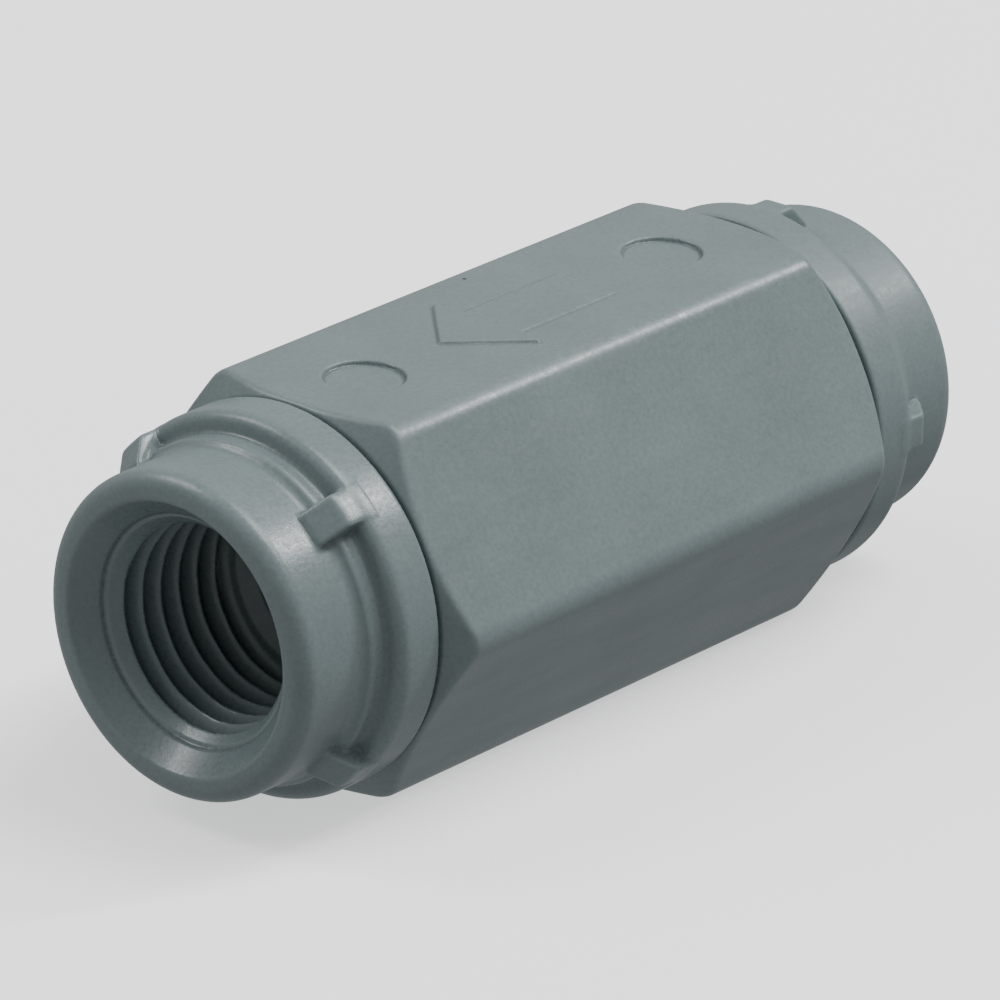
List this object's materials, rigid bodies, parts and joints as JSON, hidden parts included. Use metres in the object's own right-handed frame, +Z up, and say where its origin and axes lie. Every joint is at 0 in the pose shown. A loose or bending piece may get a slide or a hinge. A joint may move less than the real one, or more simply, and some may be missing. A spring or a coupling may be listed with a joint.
{
  "type": "check valve",
  "caption": "Inline spring check valve: hexagonal grey plastic body, flow arrow, and a screwed end connector with a threaded port at each end.",
  "frame": {"origin": "centre of the hexagonal body, on the flow axis", "axes": "+X along the flow, towards the outlet that the arrow points to; +Z up, normal to the flat that carries the arrow"},
  "size_m": [0.056, 0.0248, 0.0223],
  "materials": {
    "body_pvc": "injection-moulded grey PVC, satin, finely mottled, with a soft sheen on its edges",
    "inlet_connector_pvc": "injection-moulded grey PVC, satin",
    "outlet_connector_pvc": "injection-moulded grey PVC, satin",
    "seal_rubber": "moulded black elastomer",
    "poppet_seal_rubber": "moulded black elastomer, ground face",
    "seat_ptfe": "turned off-white fluoropolymer",
    "bush_ptfe": "turned off-white fluoropolymer",
    "poppet_pvc": "turned dark grey PVC",
    "guide_pvc": "moulded dark grey PVC",
    "steel": "stainless steel, as stamped",
    "stem_steel": "ground stainless steel",
    "spring_steel": "drawn corrosion-resistant spring wire"
  },
  "bodies": {
    "valve_body": {"hex_body": "body_pvc", "inlet_connector": "inlet_connector_pvc", "outlet_connector": "outlet_connector_pvc", "inlet_body_o_ring": "seal_rubber", "outlet_body_o_ring": "seal_rubber", "seat_ring": "seat_ptfe", "seat_ring_o_ring": "seal_rubber", "return_spring": "spring_steel", "spring_washer": "steel", "stem_guide": "guide_pvc", "guide_bush": "bush_ptfe", "guide_retaining_ring": "steel"},
    "poppet": {"poppet_disc": "poppet_pvc", "poppet_seal": "poppet_seal_rubber", "seal_retainer": "steel", "retainer_screw": "steel", "poppet_stem": "stem_steel", "spring_cup": "steel", "stop_washer": "steel", "stem_clip": "steel"}
  },
  "joints": [
    {"name": "poppet_lift", "type": "slide", "parent": "valve_body", "child": "poppet", "axis": [1, 0, 0], "range_m": [0, 0.003], "stiffness_N_per_m": 40, "springref_m": -0.004, "deforming": ["return_spring"]}
  ]
}
